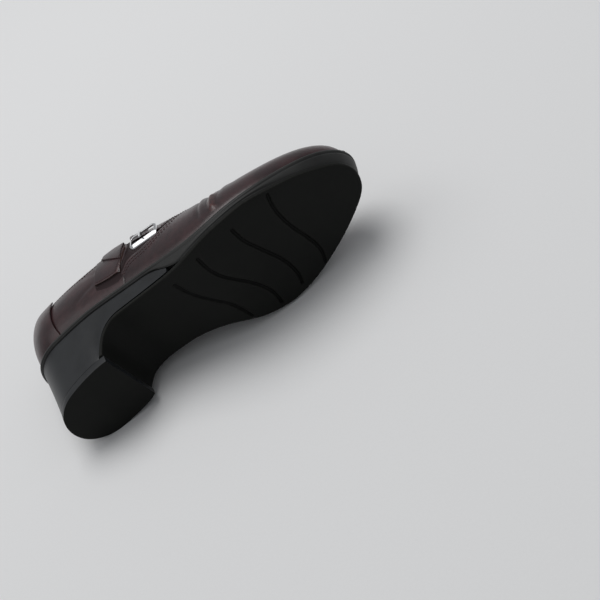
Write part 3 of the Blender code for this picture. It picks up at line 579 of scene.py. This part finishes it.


# The upper: one wall, with the marks of wear and painted shade worked into it
upperShape = {
    "grain": 0.6, "passes": 3, "triangles": 172000,
    "folds": {  # (x, angle) points, depth and width; a negative depth stands out
        "main": (
            ((174, -12), (178, 12), (181, 40), (183, 75), (181, 110), (176, 150), (172, 172)),
            0.8, 2.4,
        ),
        "ahead": (((184, -8), (189, 20), (192, 55), (192, 95), (188, 135), (183, 165)), 0.6, 2.2),
        "behindOuter": (((167, -18), (170, 4), (173, 30), (174, 52)), 0.55, 1.9),
        "toeward": (((197, 10), (200, 45), (201, 85), (198, 125), (193, 155)), 0.4, 2.3),
        "behindInner": (((168, 172), (170, 150), (172, 125), (173, 104)), 0.55, 2.1),
        "fork": (((176, 60), (186, 72), (189, 96), (186, 118)), 0.35, 1.6),
        "rubbedRidge": (((179, -14), (181, 2), (184, 18)), -1.3, 2.3),
        "swellBehind": (
            ((170, -14), (174, 8), (177, 40), (178, 75), (176, 115), (171, 155)), -0.45, 3.2,
        ),
        "swellAhead": (((188, -6), (193, 30), (196, 80), (193, 130), (188, 160)), -0.4, 3.8),
        "quarterHigh": (((58, -12), (66, -4), (75, 3), (84, 5)), 0.3, 2.6),
        "quarterLow": (((64, -16), (76, -8), (88, -6)), 0.22, 2.4),
        "quarterInner": (((52, 168), (66, 176), (80, 172)), 0.3, 3.0),
        "quarterTop": (((70, 40), (78, 30), (88, 24)), 0.2, 3.2),
    },
    "foldFade": 0.25, "rayFrom": 90, "covered": 0.8,
    "stitchFurrow": (0.1, 0.7, 0.02), "seamFurrow": (0.4, 0.55, 0.05),  # depth, width and fade
    "seamMark": (0.8, 0.05), "ridgeMark": (2.2, 0.1), "swellMark": (2.0, 0.3),  # width and fade
    "broad": 40,
}
seams = {
    "vampRow1": [
        (102.9, -11.1), (112.1, 4.6), (123.9, 9.1), (135.7, 15.5), (147, 23.3), (156.3, 36.2),
        (163.7, 51.3), (169.1, 68), (172.4, 85.5), (171.9, 100), (167.6, 111.7), (159.7, 120.2),
        (150.4, 125.2), (142.7, 134.9),
    ],
    "vampRow2": [
        (104.3, -11.3), (113, 0.3), (124.5, 4.6), (136.6, 11.1), (148.2, 19.4), (158, 32.8),
        (165.6, 48.6), (171.2, 66.1), (174.6, 84.6), (174, 100.4), (169.5, 113.1), (161.3, 122.6),
        (152, 128.2), (144.4, 138.8),
    ],
    "quarterRow": [
        (99.8, 0.4), (106.6, 19.3), (111.2, 37.3), (108.7, 54.4), (104.5, 68.6), (101.2, 80.4),
        (99.9, 90.7), (99.9, 97.3), (101.7, 100.4), (110, 103.6), (118.7, 106.7), (122.5, 113.6),
        (127.7, 128.2), (138.4, 142),
    ],
    "tabRow": [(101.5, 0.2), (97.2, -0.8), (92, -0.9), (86.7, 0.2), (83, 1.8)],
    "outerSeam": [(103.9, -12.4), (103.5, -15.8), (102.6, -19.3), (101.5, -22.8), (101.1, -26.2)],
    "outerTop": [
        (16.9, -10.1, 107), (24.4, -15.3, 105), (32.2, -18.3, 101.7), (43, -21.2, 98),
        (56, -22.4, 96.6), (69, -23.5, 94.2), (80, -23.9, 92.4), (90, -23.5, 91.8),
        (101, -22.2, 92.4), (108, -20.3, 93.4),
    ],
    "innerTop": [
        (16.2, 10.8, 107), (23.5, 16.6, 105), (32, 18.7, 102.5), (43, 20.7, 99.5), (56, 22.5, 97),
        (69, 23, 95.6), (80, 22.6, 95.2), (90, 21.9, 97), (101, 21.3, 101), (108, 21, 104.1),
    ],
}
upper = remeshed(
    "upper", "upperLeather", upperShape["grain"], upperShape["passes"], leather, lining
)
skin = surfaceOf(upper)


topRow = {"drop": 3.0, "out": 1.5}


def below(line, drop, out):
    # a topline's points moved down the wall
    return [(x, y + math.copysign(out, y), z - drop) for x, y, z in line]


upperRows = [spotsAround(skin, seams[key]) for key in ("vampRow1", "vampRow2")]
upperRows += [spotsNear(skin, below(seams[key], **topRow)) for key in ("outerTop", "innerTop")]
outerSeam = spotsAround(skin, seams["outerSeam"], 20)[0]
foldLines = {
    key: (spotsAround(skin, points, 28)[0], depth, width, upperShape["foldFade"])
    for key, (points, depth, width) in upperShape["folds"].items()
}
# the hollow below the tab's edge, where shade is painted
underTab = {  # the hollow below the tab's edge: its lowest and highest angle at each x
    "x": (81.5, 88.7, 94.1, 98.6, 102.6), "ends": (80.5, 104.2),
    "low": (-10.7, -14.8, -15.8, -16, -12.9), "high": (-1, -3, -3, -3, -2),
}
gussetShape = {"inset": 4, "back": 2, "front": 173, "turn": 8}  # the vamp's row turns at point 8


def shadedHollowsOf(where):
    # where shade is painted: 1 in the hollow under the tab and in the gusset, softly to 0 at their
    # rims
    away = fromAxis(where)
    x, angle = where[:, 0], np.degrees(np.arctan2(away[:, 2], -away[:, 1]))
    vamp, quarter = np.array(seams["vampRow1"]), np.array(seams["quarterRow"])
    turn, inset = gussetShape["turn"], gussetShape["inset"]
    low = np.interp(x, vamp[:turn + 1, 0], vamp[:turn + 1, 1]) + inset
    high = np.interp(x, vamp[:turn - 1:-1, 0], vamp[:turn - 1:-1, 1]) - inset
    back = np.interp(angle, quarter[:, 1], quarter[:, 0]) + gussetShape["back"]
    gusset = np.clip((angle - low) / 3, 0, 1) * np.clip((high - angle) / 2, 0, 1)
    gusset *= np.clip((x - back) / 1.5, 0, 1) * (x < gussetShape["front"])
    low, high = (np.interp(x, underTab["x"], underTab[key]) for key in ("low", "high"))
    hollow = np.clip(angle - low + 1, 0, 1) * np.clip(high - angle + 1, 0, 1)
    first, last = underTab["ends"]
    hollow *= np.clip(x - first, 0, 1) * np.clip(last - x, 0, 1)
    return np.maximum(gusset, hollow)


def shapeUpper():
    # presses the creases and seams in, and brings the piece down to its share of triangles
    lines = list(foldLines.values())
    lines += [(row[0][::3], *upperShape["stitchFurrow"]) for row in upperRows]
    lines.append((outerSeam, *upperShape["seamFurrow"]))
    pressed(upper, lines)
    share = upperShape["triangles"] / (2 * len(upper.data.polygons))
    applied(upper, ("DECIMATE", {"ratio": min(share, 1.0)}))


def lineUpper():
    # gives the faces on the wall's inner side the lining
    mesh = upper.data
    where, facing = coordsOf(mesh)
    outwards = fromAxis(where)
    inner = (facing * outwards).sum(1) < 0
    tree = surfaceOf(upper)
    for i in np.flatnonzero(inner):
        # a wall of a seam also faces inwards, but nothing lies over it
        away = Vector(outwards[i]).normalized()
        hit = tree.ray_cast(Vector(where[i]) + away * upperShape["rayFrom"], -away)[0]
        inner[i] = hit is None or (hit - Vector(where[i])).length > upperShape["covered"]
    corners = np.empty(len(mesh.loops), int)
    mesh.loops.foreach_get("vertex_index", corners)
    starts = np.empty(len(mesh.polygons), int)
    mesh.polygons.foreach_get("loop_start", starts)
    mesh.polygons.foreach_set("material_index", inner[corners[starts]].astype(int))


def markUpper():
    # creases darkened as painted shade and seams as dark lines, the ridges that stand out rubbed,
    # and painted shade under the tab and in the gusset
    mesh = upper.data
    where, _ = coordsOf(mesh)
    crease = np.zeros(len(where))
    for path, depth, width, fade in foldLines.values():
        if depth > 0:
            crease += soak(where, path, width * 0.7, fade) * depth
    seam = soak(where, outerSeam, *upperShape["seamMark"])
    setMask(mesh, "crease", crease + seam)
    ridge = soak(where, foldLines["rubbedRidge"][0], *upperShape["ridgeMark"])
    swell = soak(where, foldLines["swellAhead"][0][8:20], *upperShape["swellMark"])
    setMask(mesh, "rub", ridge + swell * 0.5)
    weathered(upper, broad=upperShape["broad"])
    shadedHollows = shadedHollowsOf(where)
    # painted shade in the hollow under the tab and in the gusset, added to the mask of dirt and
    # shade
    setMask(mesh, "dirtAndShade", maskOf(mesh, "dirtAndShade") + shadedHollows)
    setMask(mesh, "wear", maskOf(mesh, "wear") * (1 - np.clip(seam * 2 + shadedHollows * 1.5, 0, 1)))


shapeUpper()
lineUpper()
markUpper()
print("upper shaped:", len(upper.data.loop_triangles), "triangles")

# Leather pieces laid on the upper
tabShape = {  # (x, angle) points along its lower and upper edge
    "low": [(81.5, -1.5), (88, -3.6), (95, -4.3), (102.8, -3.4)],
    "high": [(87, 42), (95, 43), (104, 42), (112.3, 38)],
    "thick": 0.95, "columns": 28, "rows": 36, "edge": 0.3,
}


def tabLeaf(name, look, material):
    # the tab that carries the buckled strap, sewn on the quarter
    low, high = (curveThrough(look[key], look["columns"] + 1) for key in ("low", "high"))
    bm = bmesh.new()
    bmesh.ops.create_grid(bm, x_segments=look["columns"], y_segments=look["rows"], size=0.5)
    for vert in bm.verts:
        column = round((vert.co.x + 0.5) * look["columns"])
        x, angle = low[column] + (high[column] - low[column]) * (vert.co.y + 0.5)
        hit, _, away = spotAt(skin, x, angle)
        vert.co = laid @ (hit + away * look["thick"])
    bmesh.ops.recalc_face_normals(bm, faces=bm.faces[:])
    if bm.faces[0].normal.dot(laid.to_3x3() @ Vector((0, -1, 0.5))) < 0:
        bmesh.ops.reverse_faces(bm, faces=bm.faces[:])
    # thicker than it stands out, so that its back is sunk in the upper
    bmesh.ops.solidify(bm, geom=bm.faces[:], thickness=look["thick"] * 1.2 * mm)
    bevelled(bm, edgesOver(bm, edgeLimits["sharp"]), look["edge"] * mm, 3)
    return pieceFrom(bm, name, material)


leaves = {
    "instep_saddle": ("instepSaddle", leather), "buckle_strap": ("buckleStrap", shadedStrapLeather),
    "strap_end": ("strapEnd", shadedStrapLeather), "counter": ("heelCounter", leather),
}
leafLook = {"edge": 0.3, "reach": 4, "full": 0.15, "tabRaw": 1.0, "raw": 0.5}


def rawEdges(piece, share):
    # the cut sides of a leather leaf show some of its tan core
    where, facing = coordsOf(piece.data)
    away = fromAxis(where)
    away /= np.linalg.norm(away, axis=1)[:, None]
    setMask(piece.data, "raw", share - np.abs((facing * away).sum(1)) * 1.4)


saddle, strap, strapEnd, counter = (
    rounded(node, name, leafLook["edge"], 3, material) for node, (name, material) in leaves.items()
)
tab = tabLeaf("strapTab", tabShape, leather)
for piece in (saddle, strap, strapEnd, counter, tab):
    weathered(piece, leafLook["reach"], leafLook["full"])
    rawEdges(piece, leafLook["tabRaw" if piece is tab else "raw"])

footPrints = {  # the marks that heel and ball leave
    "heel": {"at": (34, 1), "reach": (24, 15)}, "ball": {"at": (176, 4), "reach": (22, 30)},
}
insole = weathered(rounded("insole", "insoleSock", 0.4, 2, lining))
where, _ = coordsOf(insole.data)
setMask(insole.data, "foot", sum(
    np.exp(-(((where[:, :2] - mark["at"]) / mark["reach"]) ** 2).sum(1))
    for mark in footPrints.values()
))
print("leather laid")

# Rows of stitching through the leather
seamOnLeaves = {
    "saddleFront": [
        (142.3, 30.5), (151, 42.1), (156.9, 53.3), (161.1, 64.4), (164.3, 75.3), (166.3, 85.9),
        (166.8, 95.4), (165.3, 102.2), (162.4, 108.8), (156.9, 114.6), (148.8, 118.8), (141, 123.9),
    ],
    "saddleBack": [
        (124.6, 37.2), (119.2, 52.5), (117.4, 64.8), (116.6, 74.9), (116.2, 83.5), (116, 91.1),
        (116, 97.3), (116.8, 99.2), (118.3, 101.7), (120.9, 105), (126.1, 110.2), (135.6, 120.7),
    ],
    "strapBack": [
        (120.2, 35.3), (117.9, 52), (115.9, 65.7), (114, 76.7), (112.9, 86), (112.1, 94.1),
        (111.6, 98.1), (111.4, 100.4), (111.4, 103.5),
    ],
    "strapFront": [
        (131.4, 32.5), (129.1, 49.7), (127.1, 64), (125.2, 75.8), (124.1, 85.7), (123.3, 94.3),
        (122.8, 98.7), (122.6, 101.2), (122.6, 104.5),
    ],
    "endLow": [(92, 39.4), (96.8, 31.3), (102, 23.5), (107.5, 16.8)],
    "endHigh": [(93.5, 48.5), (99.5, 49.4), (105.5, 50.3), (111.5, 50.7)],
}
leafSkin = surfaceOf(upper, saddle, strap, strapEnd, counter, tab)
leafSeams = [seams["quarterRow"], seams["tabRow"], *seamOnLeaves.values()]
leafRows = [spotsAround(leafSkin, line) for line in leafSeams]
stitches = stitched("upperStitches", upperRows + leafRows, upperThread, stitchLook["leather"])
print("stitched", len(stitches.data.polygons))

# Sole: the rand's top edge, as x, the widths of its outer and inner side, and its height
randEdge = [
    (8, 8.5, 8, 59.7), (13, 16.5, 15.5, 58.8), (20, 22, 20.6, 57.5), (30, 26.2, 23.9, 55.8),
    (42, 28.2, 25.5, 53.7), (58, 30, 26.7, 50.9), (72, 31.6, 27, 47.2), (88, 33.2, 26.3, 41.6),
    (101, 34.6, 26.4, 36.5), (115, 36.3, 28.3, 31), (133, 39.6, 33.6, 22.6),
    (150, 42.6, 40.2, 14.8), (170, 43.8, 46.3, 11.2), (185, 43, 48.2, 11.6), (200, 40, 47.6, 13),
    (215, 35, 44.6, 15.8), (230, 28, 40.2, 19.6), (243, 20.6, 35.4, 23), (253, 13.4, 30.4, 25.2),
    (260, 6.2, 24.4, 26.6), (264.8, -1, 17.6, 27),
]
treadEdge = {  # where the tread meets the rand: outer side, then inner
    "outer": [
        (128, -37.9, 9.6), (140, -40.3, 5.8), (160, -43.8, 3.7), (180, -43.6, 4.2),
        (200, -39.4, 6.8), (220, -30.9, 9), (233, -23.8, 11.1),
    ],
    "inner": [
        (146, 32.4, 4.6), (160, 40.8, 3.7), (180, 45.6, 4.2), (200, 45.2, 6.8), (220, 40.3, 9),
        (236, 35, 11.6),
    ],
}
randEnds = {"back": (6, 0, 60), "front": (266.8, 9, 27.2)}
randLines = {
    "groove": {"inset": -0.6, "rise": -3.9, "depth": 0.55, "width": 0.8, "fade": 0.001},
    "outer": {"depth": 0.8, "width": 0.9, "fade": 0.4},
    "inner": {"depth": 0.6, "width": 0.9, "fade": 0.4},
    "welt": {"inset": 1.9, "rise": 0.6},
}
scuff = {"at": (247, -17, 22), "reach": 7, "strength": 0.9}
heelWear = {"front": 105, "over": 20}  # none from front on, and full from over behind it


def ringAt(line):
    # once round the shoe beside the rand's top edge
    inset, rise = line["inset"], line["rise"]
    outer = [(x, -outerY + inset, top + rise) for x, outerY, _, top in randEdge]
    inner = [(x, innerY - inset, top + rise) for x, _, innerY, top in randEdge]
    (backX, backY, backTop), (frontX, frontY, frontTop) = randEnds["back"], randEnds["front"]
    back, front = (backX + inset, backY, backTop + rise), (frontX - inset, frontY, frontTop + rise)
    return [back, *outer, front, *reversed(inner), back]


rand = rounded("rand", "soleRand", 0.5, 3, randRubber)
randPaths = {key: curveThrough(treadEdge[key], 60) for key in ("outer", "inner")}
randPaths["groove"] = spotsNear(surfaceOf(rand), ringAt(randLines["groove"]), 240)[0]
pressed(rand, [
    (randPaths[key], *(randLines[key][part] for part in ("depth", "width", "fade")))
    for key in ("groove", "outer", "inner")
])
weathered(rand)
where, _ = coordsOf(rand.data)
gap = np.linalg.norm(where - scuff["at"], axis=1)
setMask(rand.data, "rub", np.exp(-(gap / scuff["reach"]) ** 2) * scuff["strength"])
heelBlock = weathered(rounded("heel_block", "heelBlock", 0.5, 3, heelRubber))
where, _ = coordsOf(heelBlock.data)
exposed = np.clip((heelWear["front"] - where[:, 0]) / heelWear["over"], 0, 1)
setMask(heelBlock.data, "wear", maskOf(heelBlock.data, "wear") * exposed)
# the top lift's side is finished like the heel block, and its underside like the tread
topLift = weathered(rounded("top_lift", "topLift", 0.35, 3, heelRubber, soleRubber))
underneath = laid.to_3x3().normalized() @ Vector((0, 0, -1))
for face in topLift.data.polygons:
    face.material_index = face.normal.dot(underneath) > 0.75
outsole = weathered(remeshed("outsole", "outsoleTread", 0.64, 6, soleRubber))
print("sole shaped:", *(len(piece.data.polygons) for piece in (rand, heelBlock, topLift, outsole)))

welt = spotsNear(surfaceOf(rand), ringAt(randLines["welt"]), 420)
weltStitches = stitched("weltStitches", [welt], randThread, stitchLook["sole"])

# Buckle: a flat arched frame with a broad outer bar, its pin, and the loop at the far end
buckleShape = {
    "corners": [
        (117.1, -32.8, 64.0), (137.6, -34.2, 57.5), (139.4, -29.95, 70.0), (118.3, -28.45, 78.4),
    ],
    "around": 1, "corner": 3.2, "bar": 2.9, "side": 1.8, "thick": 1.6, "edge": 0.45,
    "arch": 1.6, "tilt": 0.75,
}


def flatFrame(name, look, node):
    a, b, c, d = (Vector(p) for p in look["corners"])
    centre = (a + b + c + d) / 4
    across = ((b - a) + (c - d)).normalized()
    up = ((d - a) + (c - b)).normalized()
    out = across.cross(up)
    wide, tall = ((b - a).length + (c - d).length) / 2, ((d - a).length + (c - b).length) / 2
    bm = bmesh.new()
    bmesh.ops.create_grid(bm, x_segments=1, y_segments=1, size=1.0)
    halfWide, halfTall = wide / 2 + look["around"], tall / 2 + look["around"]
    for vert in bm.verts:
        vert.co = (vert.co.x * halfWide, vert.co.y * halfTall, 0)
    bevelled(bm, bm.verts[:], look["corner"], 5, "VERTICES")
    bmesh.ops.inset_region(
        bm, faces=bm.faces[:], thickness=look["side"], use_boundary=True, use_even_offset=True
    )
    hole = min(bm.faces, key=lambda face: face.calc_center_median().length)
    for vert in hole.verts:
        if vert.co.y < 0:
            vert.co.y += look["bar"] - look["side"]
    bmesh.ops.delete(bm, geom=[hole], context="FACES")
    bmesh.ops.solidify(bm, geom=bm.faces[:], thickness=look["thick"])
    bmesh.ops.recalc_face_normals(bm, faces=bm.faces[:])
    bevelled(bm, edgesOver(bm, edgeLimits["sharp"]), look["edge"], 3)
    for vert in bm.verts:
        bow = look["arch"] * (1 - (2 * vert.co.x / wide) ** 2)
        bow -= look["tilt"] * max(look["bar"] - look["around"] - tall / 2 - vert.co.y, 0)
        vert.co = laid @ (centre + across * vert.co.x + up * vert.co.y + out * (vert.co.z + bow))
    piece = pieceFrom(bm, name, steel)
    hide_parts(node)
    return piece


buckleFrame = flatFrame("buckleFrame", buckleShape, "buckle_frame")
bucklePin = weathered(rounded("buckle_prong", "bucklePin", 0.2, 2, steel))
strapLoop = weathered(rounded("strap_loop", "strapLoop", 0.2, 2, steel))
print("buckle made")

# Floor, light and camera
studio = {
    "floor": 8.0, "paper": (0.8, 0.8, 0.8), "fleck": (0.77, 0.77, 0.77),
    "sky": (0.93, 0.95, 0.98), "skyPower": 0.33,
    "key": {"from": (0.1, 0.8, 2.45), "size": 1.9, "power": 34.5},
    "fill": {"from": (-1.4, 0.75, 2.0), "size": 1.6, "power": 7.5},
}
bm = bmesh.new()
bmesh.ops.create_grid(bm, x_segments=1, y_segments=1, size=studio["floor"])
floorMesh = bpy.data.meshes.new("floor")
bm.to_mesh(floorMesh)
bm.free()
floor = bpy.data.objects.new("floor", floorMesh)
bpy.context.scene.collection.objects.link(floor)
paper = Finish("palePaper")
grain = paper.noise(1.5, 3.0, 0.5)
paperTone = paper.mix(grain, studio["paper"], studio["fleck"])
floorMesh.materials.append(paper.give(paperTone, 0.85, grain, 0.02))

for name in ("key", "fill"):
    place, size, power = studio[name].values()
    data = bpy.data.lights.new(name, "AREA")
    data.shape, data.size, data.energy = "DISK", size, power
    lamp = bpy.data.objects.new(name, data)
    lamp.location = place
    lamp.rotation_euler = (-Vector(place)).to_track_quat("-Z", "Y").to_euler()
    bpy.context.scene.collection.objects.link(lamp)

world = bpy.data.worlds.new("studio")
world.use_nodes = True
sky = world.node_tree.nodes["Background"]
sky.inputs["Color"].default_value = (*studio["sky"], 1.0)
sky.inputs["Strength"].default_value = studio["skyPower"]
bpy.context.scene.world = world
bpy.context.scene.view_settings.view_transform = "Standard"

viewpoint = {
    "place": (0.04085, -0.50382, 0.39182), "turn": (42.9253, 25.6012, -25.746),
    "lens": 53.03, "sensor": 36.0,
}
cameraData = bpy.data.cameras.new("camera")
cameraData.lens = viewpoint["lens"]
cameraData.sensor_width = viewpoint["sensor"]
camera = bpy.data.objects.new("camera", cameraData)
camera.location = viewpoint["place"]
camera.rotation_euler = [math.radians(a) for a in viewpoint["turn"]]
bpy.context.scene.collection.objects.link(camera)
bpy.context.scene.camera = camera
print("studio set")
